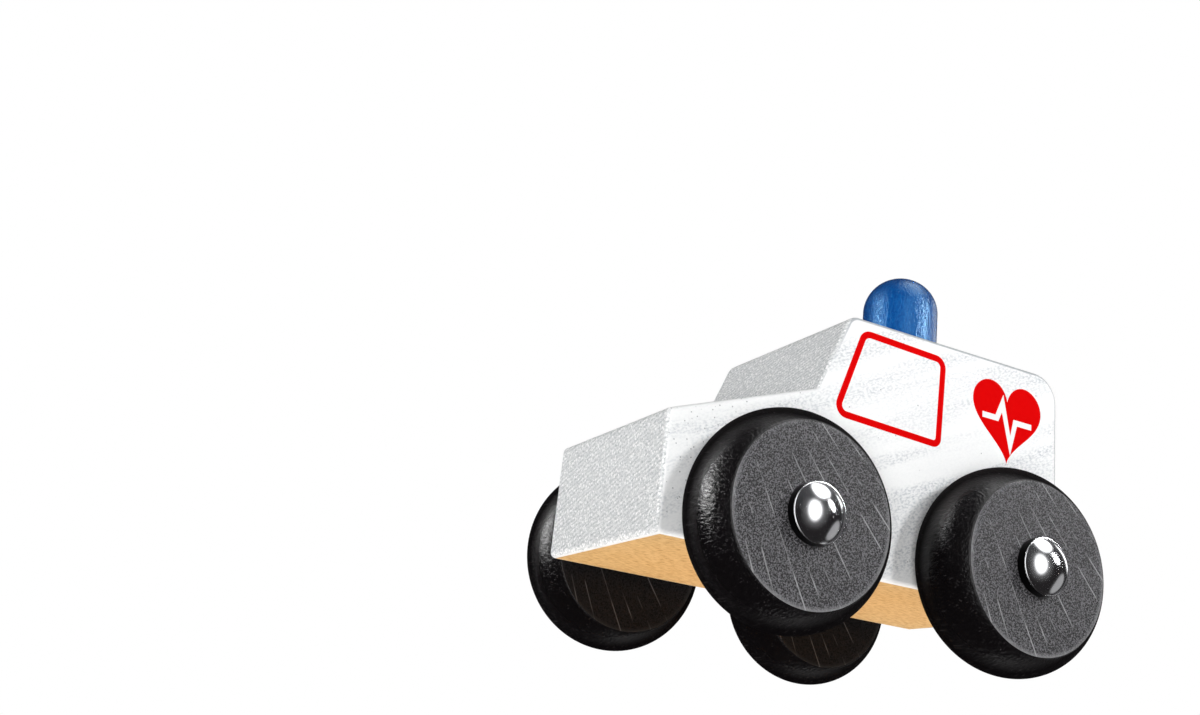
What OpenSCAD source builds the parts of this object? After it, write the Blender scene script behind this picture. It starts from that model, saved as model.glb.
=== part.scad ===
// Wooden toy ambulance with a bonnet, made from a sawn block on four big turned wheels.
// Each axle is a steel rod that runs through the block. The wheels turn on the rods, with a
// spacer behind each one and a domed push-on cap over each rod's end.
// Millimetres: +X points to the nose, +Y to the left side and +Z up. The origin is on the
// floor under the middle of the block.

/* [Body] */
// Length of the block from nose to tail
body_length = 94; // [84:1:120]
// Width of the block
body_width = 45; // [30:1:60]
// Height of the block from its underside to its roof
body_height = 51.5; // [46:0.5:70]
// Height of the upright nose
nose_height = 23; // [18:0.5:28]
// Length of the bonnet from the nose to the foot of the windscreen
bonnet_length = 32; // [24:0.5:38]
// Height of the bonnet at the foot of the windscreen
bonnet_height = 34.5; // [30:0.5:40]
// How far the windscreen leans back
windscreen_lean = 7; // [2:0.5:12]
// Radius of the top corner at the tail
tail_radius = 6; // [2:0.5:12]
// Radius of the brow, where the windscreen runs into the roof
brow_radius = 3; // [2:0.1:5]
// Radius in the inner corner between bonnet and windscreen
windscreen_fillet = 1; // [0.5:0.1:3]
// How far all the other edges of the block are sanded round
edge_ease = 1.2; // [0.4:0.1:1.8]

/* [Beacon] */
// Diameter of the beacon
beacon_diameter = 16.5; // [12:0.5:22]
// Height of the beacon above the roof
beacon_height = 22.7; // [16:0.1:30]
// Height of the round top of the beacon
beacon_dome = 7.8; // [4:0.1:8]
// Distance from the tail to the middle of the beacon
beacon_setback = 25.2; // [18:0.1:32]
// Diameter of the spigot under the beacon
spigot_diameter = 8; // [5:0.5:10]
// Length of the spigot under the beacon
spigot_length = 12; // [6:0.5:18]
// Chamfer at the tip of the spigot
spigot_chamfer = 0.8; // [0.3:0.1:1.5]

/* [Wheels] */
// Diameter of a wheel at the crown of its tread
wheel_diameter = 40; // [34:1:48]
// Width of a wheel
wheel_width = 15; // [10:0.5:20]
// How far the tread falls from its crown to the edge of a flat face
tread_fall = 3.5; // [1:0.1:5]
// Gap between the block and the inner face of a wheel
wheel_gap = 3; // [2:0.1:6]

/* [Axles] */
// Diameter of the axle rods
axle_diameter = 5; // [4:0.1:6]
// Chamfer at both ends of an axle rod
axle_chamfer = 0.5; // [0.2:0.1:0.8]
// Height of the axles above the underside of the block
axle_rise = 4.75; // [4:0.05:8]
// Distance from the nose to the front axle
front_axle_setback = 20.2; // [18:0.1:26]
// Distance from the tail to the rear axle
rear_axle_setback = 22.6; // [18:0.1:28]

/* [Spacers] */
// Wall of a spacer around its axle
spacer_wall = 1.6; // [1:0.1:2]
// Chamfer round the outer edges of a spacer
spacer_chamfer = 0.4; // [0.1:0.1:0.7]

/* [Axle caps] */
// Thickness of the sheet that a cap is pressed from
cap_wall = 0.5; // [0.3:0.05:0.6]
// Height of the straight skirt of a cap
cap_skirt = 1.8; // [1.4:0.1:3]
// Height of the dome above the skirt
cap_dome = 2.7; // [2.2:0.1:3.2]
// Width of the flat shoulder round the foot of the dome
cap_shoulder = 0.2; // [0.1:0.05:0.4]
// How far the rolled lip of a cap reaches in under its retainer
cap_lip = 0.6; // [0.3:0.05:1]

/* [Retainers] */
// Thickness of a retainer's spring sheet
retainer_sheet = 0.35; // [0.25:0.05:0.45]
// Width of a retainer's flat rim
retainer_rim = 1.2; // [1:0.05:1.8]
// Length of the teeth, measured square to the axle
tooth_length = 1.2; // [0.9:0.05:1.6]
// How far the teeth stand out of the plane of the rim
tooth_dish = 0.7; // [0.4:0.05:0.9]
// Number of teeth on a retainer
tooth_count = 6; // [4:1:8]
// Width of the slots between the teeth
slot_width = 0.7; // [0.4:0.05:1]

/* [Fits] */
// Play between an axle and the bores that it turns in, on the radius
axle_play = 0.08; // [0.02:0.01:0.1]
// Play between pieces that turn against each other's faces
end_play = 0.2; // [0.1:0.05:0.4]
// Room for glue round the spigot, on the radius
glue_gap = 0.05; // [0.02:0.01:0.15]
// Room for glue under the tip of the spigot
glue_well = 0.6; // [0.2:0.1:2]
// Slack between a retainer and the cap and axle that hold it
retainer_slack = 0.05; // [0.02:0.01:0.1]
// Room between the end of an axle and the crown of its cap
axle_end_room = 1; // [0.8:0.1:1.4]

/* [Hidden] */
$fn = 96;
ENDS = ["front", "rear"];
SIDES = ["left", "right"];
FITTINGS = ["wheel", "spacer", "cap", "retainer"];

// Every cut runs this far past the face that it opens
overrun = 1;
// Flat steps along each rounded corner and edge of the block
ease_steps = 6;
// Small corners of the outline, as a share of the ease along the edges
corner_ease_share = 1.3;
// How far a slot between the teeth reaches into the rim, as a share of the rim
slot_reach_share = 0.3;

wheel_radius = wheel_diameter / 2;
axle_radius = axle_diameter / 2;
bore_radius = axle_radius + axle_play;

// Heights above the floor, and places along the block
underside = wheel_radius - axle_rise;
roof = underside + body_height;
nose = body_length / 2;
tail = -body_length / 2;
windscreen_foot = nose - bonnet_length;
brow = windscreen_foot - windscreen_lean;
corner_radius = edge_ease * corner_ease_share;

// The tread is an arc through its crown and both edges
half_width = wheel_width / 2;
tread_radius = (half_width * half_width + tread_fall * tread_fall) / (2 * tread_fall);
tread_centre = wheel_radius - tread_radius;

// The stack along an axle, measured outward from the middle of the block
wheel_start = body_width / 2 + wheel_gap;
cap_start = wheel_start + wheel_width + end_play;
cap_height = cap_skirt + cap_dome;
retainer_start = cap_start + cap_wall + retainer_slack;
axle_half_length = cap_start + cap_height - cap_wall - axle_end_room;
spacer_start = body_width / 2 + end_play;
spacer_width = wheel_gap - 2 * end_play;

// A cap closes over its retainer, and the retainer grips the axle
grip_radius = axle_radius + retainer_slack;
rim_inner = grip_radius + tooth_length;
rim_outer = rim_inner + retainer_rim;
cap_inner = rim_outer + retainer_slack;
cap_radius = cap_inner + cap_wall;
crown_foot = cap_radius - cap_shoulder;
crown_radius = (crown_foot * crown_foot + cap_dome * cap_dome) / (2 * cap_dome);

// The beacon's top is part of a sphere through the crown and the top of the straight side
beacon_radius = beacon_diameter / 2;
spigot_radius = spigot_diameter / 2;
dome_radius = (beacon_radius * beacon_radius + beacon_dome * beacon_dome) / (2 * beacon_dome);

// Side outline of the block from the tail's foot round by the nose: x, z and corner radius
outline_corners = [
    [tail, underside, corner_radius],
    [nose, underside, corner_radius],
    [nose, underside + nose_height, corner_radius],
    [windscreen_foot, underside + bonnet_height, windscreen_fillet],
    [brow, roof, brow_radius],
    [tail, roof, tail_radius]
];

function axle_x(end) = end == "front" ? nose - front_axle_setback : tail + rear_axle_setback;

function unit(v) = v / norm(v);

function place(corner) = [corner.x, corner.y];

// Points round one corner of an outline that is drawn in by inset: outer corners tighten
// and inner corners open.
function corner_arc(before, at, after, radius, inset) =
    let (
        back = unit(before - at),
        ahead = unit(after - at),
        half = acos(back * ahead) / 2,
        centre = at + unit(back + ahead) * radius / sin(half),
        from = at + back * radius / tan(half) - centre,
        to = at + ahead * radius / tan(half) - centre,
        start = atan2(from.y, from.x),
        sweep = atan2(cross(from, to), from * to),
        drawn = radius - sign(cross(ahead, back)) * inset
    )
    [
        for (step = [0 : ease_steps])
            let (turn = start + sweep * step / ease_steps)
                centre + drawn * [cos(turn), sin(turn)]
    ];

// The whole side outline, drawn in by inset
function outline(inset) =
    let (corners = outline_corners, count = len(corners))
    [
        for (i = [0 : count - 1])
            each corner_arc(
                place(corners[(i + count - 1) % count]),
                place(corners[i]),
                place(corners[(i + 1) % count]),
                corners[i].z,
                inset
            )
    ];

// Stations across the block, right to left: y and how far the outline is drawn in there
function stations() =
    let (
        ease = [
            for (step = [0 : ease_steps])
                let (turn = 90 * step / ease_steps)
                    [body_width / 2 - edge_ease * (1 - cos(turn)), edge_ease * (1 - sin(turn))]
        ]
    )
    concat(
        [for (i = [0 : ease_steps]) [-ease[i].x, ease[i].y]],
        [for (i = [ease_steps : -1 : 0]) ease[i]]
    );

// Puts its children on an axle, with their Z axis pointing out of the block on that side
module outward(end, side, distance) {
    translate([axle_x(end), 0, wheel_radius])
        rotate([side == "left" ? -90 : 90, 0, 0])
            translate([0, 0, distance])
                children();
}

// The block with all its edges sanded round, lofted through the stations
module eased_block() {
    rings = [for (station = stations()) [for (p = outline(station.y)) [p.x, station.x, p.y]]];
    size = len(rings[0]);
    last = len(rings) - 1;
    right_side = [for (j = [1 : size - 2]) [0, j + 1, j]];
    left_side = [for (j = [1 : size - 2]) [last * size, last * size + j, last * size + j + 1]];
    edges = [
        for (i = [0 : last - 1], j = [0 : size - 1])
            let (
                a = i * size + j,
                b = i * size + (j + 1) % size,
                c = b + size,
                d = a + size
            )
            each [[a, b, c], [a, c, d]]
    ];
    polyhedron([for (ring = rings) each ring], concat(right_side, left_side, edges));
}

// Block, drilled across for both axles and down into the roof for the beacon
module body() {
    color("white")
        difference() {
            eased_block();
            for (end = ENDS)
                outward(end, "left", -body_width / 2 - overrun)
                    cylinder(r = bore_radius, h = body_width + 2 * overrun);
            translate([tail + beacon_setback, 0, roof - spigot_length - glue_well])
                cylinder(r = spigot_radius + glue_gap, h = spigot_length + glue_well + overrun);
        }
}

// Half section of the beacon's round top and straight side
module beacon_profile() {
    intersection() {
        square([beacon_radius, beacon_height + overrun]);
        union() {
            translate([0, -overrun])
                square([beacon_radius + overrun, overrun + beacon_height - dome_radius]);
            translate([0, beacon_height - dome_radius])
                circle(dome_radius);
        }
    }
}

// Turned peg with a round top, glued into the roof by its spigot
module beacon() {
    color("royalblue")
        translate([tail + beacon_setback, 0, roof])
            rotate_extrude() {
                beacon_profile();
                polygon([
                    [0, -spigot_length],
                    [spigot_radius - spigot_chamfer, -spigot_length],
                    [spigot_radius, spigot_chamfer - spigot_length],
                    [spigot_radius, beacon_height - beacon_dome],
                    [0, beacon_height - beacon_dome]
                ]);
            }
}

// Steel rod with chamfered ends, right across the toy
module axle(end) {
    shoulder = axle_half_length - axle_chamfer;
    color("silver")
        outward(end, "left", 0)
            rotate_extrude()
                polygon([
                    [0, -axle_half_length],
                    [axle_radius - axle_chamfer, -axle_half_length],
                    [axle_radius, -shoulder],
                    [axle_radius, shoulder],
                    [axle_radius - axle_chamfer, axle_half_length],
                    [0, axle_half_length]
                ]);
}

// Turned wheel with flat faces and a round tread
module wheel(end, side) {
    color("dimgray")
        outward(end, side, wheel_start)
            rotate_extrude()
                difference() {
                    intersection() {
                        square([wheel_radius + overrun, wheel_width]);
                        union() {
                            translate([0, -overrun])
                                square([tread_centre, wheel_width + 2 * overrun]);
                            translate([tread_centre, half_width])
                                circle(tread_radius);
                        }
                    }
                    translate([-overrun, -overrun])
                        square([overrun + bore_radius, wheel_width + 2 * overrun]);
                }
}

// Ring that keeps a wheel off the block
module spacer(end, side) {
    outer = bore_radius + spacer_wall;
    color("burlywood")
        outward(end, side, spacer_start)
            rotate_extrude()
                polygon([
                    [bore_radius, 0],
                    [outer - spacer_chamfer, 0],
                    [outer, spacer_chamfer],
                    [outer, spacer_width - spacer_chamfer],
                    [outer - spacer_chamfer, spacer_width],
                    [bore_radius, spacer_width]
                ]);
}

// Half section of a domed shape that stands on base
module dome_profile(radius, crown, base) {
    intersection() {
        translate([0, base])
            square([radius, cap_height + overrun]);
        translate([0, cap_height - crown_radius])
            circle(crown);
    }
}

// Hollow pressed cap, with a rolled lip that holds its retainer
module cap(end, side) {
    color("gainsboro")
        outward(end, side, cap_start)
            rotate_extrude()
                difference() {
                    union() {
                        square([cap_radius, cap_skirt]);
                        dome_profile(crown_foot, crown_radius, 0);
                    }
                    dome_profile(cap_inner, crown_radius - cap_wall, cap_wall);
                    translate([0, -overrun])
                        square([cap_inner - cap_lip, overrun + cap_skirt]);
                }
}

// Spring washer inside a cap, with dished teeth that bite on the axle
module retainer(end, side) {
    slot_reach = rim_inner + retainer_rim * slot_reach_share;
    color("slategray")
        outward(end, side, retainer_start)
            difference() {
                rotate_extrude()
                    polygon([
                        [rim_outer, 0],
                        [rim_outer, retainer_sheet],
                        [rim_inner, retainer_sheet],
                        [grip_radius, tooth_dish + retainer_sheet],
                        [grip_radius, tooth_dish],
                        [rim_inner, 0]
                    ]);
                for (tooth = [0 : tooth_count - 1])
                    rotate([0, 0, tooth * 360 / tooth_count])
                        translate([0, -slot_width / 2, -overrun])
                            cube([slot_reach, slot_width, tooth_dish + retainer_sheet + 2 * overrun]);
            }
}

body();
beacon();
for (end = ENDS) {
    axle(end);
    for (side = SIDES) {
        wheel(end, side);
        spacer(end, side);
        cap(end, side);
        retainer(end, side);
    }
}
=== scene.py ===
"""Looks of a wooden toy ambulance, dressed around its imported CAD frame.

The toy is a sawn hardwood block with a bonnet, lacquered white, with a turned blue beacon, four
black-stained turned wheels and chromed caps over the axle ends. Meshes are worked out in
millimetres in the frame of the CAD model: +X points to the nose, +Y to the left side and +Z up.
"""

import logging
import math
from collections.abc import Sequence
from dataclasses import dataclass, field, replace
from enum import Enum

import bmesh
import bpy
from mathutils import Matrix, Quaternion, Vector


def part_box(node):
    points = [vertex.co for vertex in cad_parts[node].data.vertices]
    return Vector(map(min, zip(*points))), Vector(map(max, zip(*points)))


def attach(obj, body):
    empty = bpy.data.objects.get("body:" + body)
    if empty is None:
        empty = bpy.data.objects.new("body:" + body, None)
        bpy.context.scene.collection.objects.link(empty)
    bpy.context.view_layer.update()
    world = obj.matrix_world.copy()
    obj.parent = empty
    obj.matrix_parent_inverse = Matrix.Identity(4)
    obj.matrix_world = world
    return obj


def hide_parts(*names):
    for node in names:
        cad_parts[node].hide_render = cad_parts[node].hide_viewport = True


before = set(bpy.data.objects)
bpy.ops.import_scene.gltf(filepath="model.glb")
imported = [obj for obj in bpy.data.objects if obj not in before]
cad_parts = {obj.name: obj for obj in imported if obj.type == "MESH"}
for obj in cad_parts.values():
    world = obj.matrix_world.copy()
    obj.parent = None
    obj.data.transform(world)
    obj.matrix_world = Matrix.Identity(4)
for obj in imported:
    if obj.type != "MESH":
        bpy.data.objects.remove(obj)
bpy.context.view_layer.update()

LOG = logging.getLogger("toy_ambulance")
MM = 0.001
FULL_TURN = 2 * math.pi
SMOOTH_LIMIT = math.radians(32)
MERGE_DISTANCE = 1e-5
# Radius of the bores that an axle runs through, in millimetres
BORE_RADIUS = 2.58
# A wave texture of scale 1 runs through this angle in each unit
WAVE_RADIANS = 20
# Input sockets of a Mix node that mixes colours
FACTOR, UNDER, OVER = 0, 6, 7

Flat = tuple[float, float]
Size = tuple[float, float, float]
Shape = bmesh.types.BMesh
Tree = bpy.types.NodeTree
Node = bpy.types.Node
Socket = bpy.types.NodeSocket
Setting = Node | Socket | float | str | tuple | Vector


class Side(Enum):
    """The two sides of the toy, as the sign of Y."""

    LEFT = 1
    RIGHT = -1


class End(Enum):
    """The two ends of the toy, as the nodes' names give them."""

    FRONT = "front"
    REAR = "rear"


class Slot(Enum):
    """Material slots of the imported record."""

    BODY = "white_lacquered_beech"
    BEACON = "blue_lacquered_beech"
    WHEEL = "black_stained_beech"
    CAP = "chromed_steel"


# Small helpers for nodes, outlines and meshes


def linear(code: str) -> tuple[float, float, float, float]:
    """Turns an sRGB hex colour into linear light.

    Args:
        code: Six hex digits after a hash sign.

    Returns:
        Red, green, blue and full alpha.
    """
    channels = [int(code[i:i + 2], 16) / 255 for i in (1, 3, 5)]
    red, green, blue = (
        c / 12.92 if c <= 0.04045 else ((c + 0.055) / 1.055) ** 2.4 for c in channels
    )
    return red, green, blue, 1.0


def feed(tree: Tree, node: Node, inputs: dict[str | int, Setting]) -> None:
    """Sets or links inputs of a shader node.

    Args:
        tree: The node tree.
        node: The node.
        inputs: For each named or numbered input a value, a colour in hex, a socket to link
            from, or a node whose first live output is linked.
    """
    for key, value in inputs.items():
        if isinstance(value, str):
            value = linear(value)
        if isinstance(value, Node):
            value = next(socket for socket in value.outputs if socket.enabled)
        if isinstance(value, Socket):
            tree.links.new(value, node.inputs[key])
        else:
            node.inputs[key].default_value = value


def add(tree: Tree, kind: str, inputs: dict | None = None, **settings: Setting) -> Node:
    """Adds a shader node with its settings and links.

    Args:
        tree: The node tree that takes the node.
        kind: Blender's name for the kind of shader node.
        inputs: What its inputs are fed with.
        settings: The node's own properties.

    Returns:
        The new node.
    """
    made = tree.nodes.new(f"ShaderNode{kind}")
    for name, value in settings.items():
        setattr(made, name, value)
    feed(tree, made, inputs or {})
    return made


@dataclass(frozen=True)
class Ramp:
    """How a value turns into a share: from first to last while it runs from start to stop."""

    start: float
    stop: float
    first: float = 0.0
    last: float = 1.0

    def inputs(self, value: Node | Socket, unit: float = 1.0) -> dict[str, Setting]:
        """Gives the inputs that map a value.

        Args:
            value: What is mapped.
            unit: What start and stop are measured in.

        Returns:
            The mapping's inputs by name.
        """
        window = {"From Min": self.start * unit, "From Max": self.stop * unit}
        return {"Value": value, **window, "To Min": self.first, "To Max": self.last}


def pattern(
    tree: Tree, kind: str, here: Socket, size: Size, inputs: dict, turn: Size = (0, 0, 0),
) -> Node:
    """Adds a texture that is drawn at a real size.

    Args:
        tree: The material's nodes.
        kind: Blender's name for the texture.
        here: Coordinates on the piece.
        size: What one unit of the texture covers along X, Y and Z, in millimetres.
        inputs: The texture's other inputs.
        turn: How far it is turned about X, Y and Z, in degrees.

    Returns:
        The texture.
    """
    angles = tuple(math.radians(angle) for angle in turn)
    place = add(
        tree, "Mapping",
        {"Vector": here, "Rotation": angles, "Scale": Vector(size) * MM}, vector_type="TEXTURE",
    )
    return add(tree, kind, {"Vector": place, "Scale": 1.0, **inputs})


def layer(tree: Tree, value: Node, ramp: Ramp, under: Setting, over: str) -> Node:
    """Lays a colour over a tone where a pattern lets it show.

    Args:
        tree: The material's nodes.
        value: The pattern.
        ramp: How the pattern's value turns into a share of the colour.
        under: The tone.
        over: The colour, in hex.

    Returns:
        The new tone.
    """
    mask = add(tree, "MapRange", ramp.inputs(value))
    return add(tree, "Mix", {FACTOR: mask, UNDER: under, OVER: over}, data_type="RGBA")


def corner_arc(
    before: Vector, at: Vector, after: Vector, radius: float, inset: float, steps: int,
) -> list[Flat]:
    """Rounds one corner of an outline that is drawn in by an inset.

    Args:
        before: The corner before this one.
        at: This corner.
        after: The corner after this one.
        radius: Radius of the corner on the outline that isn't drawn in.
        inset: How far the outline is drawn in.
        steps: Flat steps along the arc.

    Returns:
        The points of the arc.
    """
    back = (before - at).normalized()
    ahead = (after - at).normalized()
    half = math.acos(back.dot(ahead)) / 2
    centre = at + (back + ahead).normalized() * radius / math.sin(half)
    start = at + back * radius / math.tan(half) - centre
    stop = at + ahead * radius / math.tan(half) - centre
    turn = math.atan2(start.x * stop.y - start.y * stop.x, start.dot(stop))
    first = math.atan2(start.y, start.x)
    drawn = radius - math.copysign(inset, turn)
    angles = [first + turn * step / steps for step in range(steps + 1)]
    return [(centre.x + drawn * math.cos(a), centre.y + drawn * math.sin(a)) for a in angles]


def rounded(corners: Sequence[Size], inset: float, steps: int) -> list[Flat]:
    """Rounds every corner of an outline that runs anticlockwise.

    Args:
        corners: Two coordinates and a radius for each corner.
        inset: How far the outline is drawn in.
        steps: Flat steps along each corner.

    Returns:
        The points of the whole outline.
    """
    places = [Vector(corner[:2]) for corner in corners]
    points = []
    for i, corner in enumerate(corners):
        after = places[(i + 1) % len(places)]
        points += corner_arc(places[i - 1], places[i], after, corner[2], inset, steps)
    return points


def arc(centre: Flat, radius: float, first: float, last: float, steps: int) -> list[Flat]:
    """Gives points along an arc, with angles in degrees.

    Args:
        centre: Middle of the arc.
        radius: Radius of the arc.
        first: Angle of the first point.
        last: Angle of the last point.
        steps: Flat steps along the arc.

    Returns:
        The points of the arc.
    """
    angles = [math.radians(first + (last - first) * step / steps) for step in range(steps + 1)]
    return [(centre[0] + radius * math.cos(a), centre[1] + radius * math.sin(a)) for a in angles]


def piece(
    name: str, shape: Shape, place: Vector, materials: Sequence[bpy.types.Material],
) -> bpy.types.Object:
    """Turns a shape in millimetres into an object with smooth faces and sharp corners.

    Args:
        name: Name of the piece.
        shape: The shape, which is freed.
        place: Where its origin goes, in millimetres.
        materials: Materials, in the order of the faces' numbers.

    Returns:
        The new object.
    """
    bmesh.ops.recalc_face_normals(shape, faces=shape.faces)
    bmesh.ops.scale(shape, vec=Vector((MM, MM, MM)), verts=shape.verts)
    mesh = bpy.data.meshes.new(name)
    shape.to_mesh(mesh)
    shape.free()
    mesh.shade_smooth()
    mesh.set_sharp_from_angle(angle=SMOOTH_LIMIT)
    for material in materials:
        mesh.materials.append(material)
    made = bpy.data.objects.new(name, mesh)
    made.location = place * MM
    bpy.context.scene.collection.objects.link(made)
    return made


def turned(profile: Sequence[Flat], finishes: Sequence[int], along: Vector, steps: int) -> Shape:
    """Turns a profile about an axis.

    Args:
        profile: Radius and height of each point of the profile.
        finishes: Number of the material for the stretch that follows each point.
        along: Direction of the axis.
        steps: Flat steps round the axis.

    Returns:
        The turned shape.
    """
    shape = bmesh.new()
    across = along.orthogonal().normalized()
    upright = along.cross(across)
    rings = []
    for step in range(steps):
        angle = FULL_TURN * step / steps
        ray = across * math.cos(angle) + upright * math.sin(angle)
        rings.append([shape.verts.new(along * height + ray * radius) for radius, height in profile])
    for i, ring in enumerate(rings):
        ahead = rings[(i + 1) % steps]
        for j, number in enumerate(finishes):
            k = (j + 1) % len(profile)
            face = shape.faces.new((ring[j], ring[k], ahead[k], ahead[j]))
            face.material_index = number
    bmesh.ops.remove_doubles(shape, verts=shape.verts, dist=MERGE_DISTANCE)
    bmesh.ops.dissolve_degenerate(shape, edges=shape.edges, dist=MERGE_DISTANCE)
    return shape


def ease_edges(made: bpy.types.Object, width: float, steps: int) -> None:
    """Rounds the sharp edges of a piece.

    Args:
        made: The piece.
        width: How far the rounding reaches, in millimetres.
        steps: Flat steps across it.
    """
    bevel = made.modifiers.new("eased_edges", "BEVEL")
    bevel.width = width * MM
    bevel.segments = steps
    bevel.limit_method = "ANGLE"
    bevel.angle_limit = SMOOTH_LIMIT
    bevel.harden_normals = True


# Finishes, with sizes in millimetres. Pores, fibres and rays of beech are finer than the render
# can show, so they are drawn as coarse as they need to be seen.


@dataclass(frozen=True)
class Finish:
    """A finish that becomes one material."""

    title: str
    roughness: float
    ior: float = 1.5
    shine: float = 0.5
    relief: float = 0.3
    relief_depth: float = 0.05

    def material(self) -> bpy.types.Material:
        """Makes the material once.

        Returns:
            The material of this finish.
        """
        made = bpy.data.materials.get(self.title)
        if made is None:
            made = bpy.data.materials.new(self.title)
            made.use_nodes = True
            shader = made.node_tree.nodes["Principled BSDF"]
            gloss = {"Roughness": self.roughness, "IOR": self.ior, "Specular IOR Level": self.shine}
            feed(made.node_tree, shader, gloss)
            self.dress(made.node_tree, shader)
        return made

    def dress(self, tree: Tree, shader: Node) -> None:
        """Adds the finish's own nodes.

        Args:
            tree: The material's nodes.
            shader: The material's main shader.
        """
        raise NotImplementedError

    def surface(self, tree: Tree, shader: Node, tone: Node, height: Node) -> None:
        """Gives the shader its tone and its relief.

        Args:
            tree: The material's nodes.
            shader: The material's main shader.
            tone: The colour.
            height: The pattern that stands in relief.
        """
        depth = self.relief_depth * MM
        bump = add(tree, "Bump", {"Strength": self.relief, "Distance": depth, "Height": height})
        feed(tree, shader, {"Base Color": tone, "Normal": bump})


@dataclass(frozen=True)
class Grain:
    """A noise that lays its colour over a tone: fibres, flecks, scratches or tooth."""

    colour: str
    size: Size
    ramp: Ramp = Ramp(0.0, 1.0)
    detail: float = 2.0
    distortion: float = 0.0


@dataclass(frozen=True, kw_only=True)
class GrainedFinish(Finish):
    """A finish whose grains lie over a ground colour, with one of them raised in relief."""

    ground: str
    grains: tuple[Grain, ...]
    raised: int = 0
    metallic: float = 0.0
    sheen_tint: str = "#FFFFFF"

    def dress(self, tree: Tree, shader: Node) -> None:
        """Adds the grains, each over those before it.

        Args:
            tree: The material's nodes.
            shader: The material's main shader.
        """
        feed(tree, shader, {"Metallic": self.metallic, "Specular Tint": self.sheen_tint})
        here = add(tree, "TexCoord").outputs["Object"]
        tone = self.ground
        noises = []
        for grain in self.grains:
            look = {"Detail": grain.detail, "Distortion": grain.distortion}
            noises.append(pattern(tree, "TexNoise", here, grain.size, look))
            tone = layer(tree, noises[-1], grain.ramp, tone, grain.colour)
        self.surface(tree, shader, tone, noises[self.raised])


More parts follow.
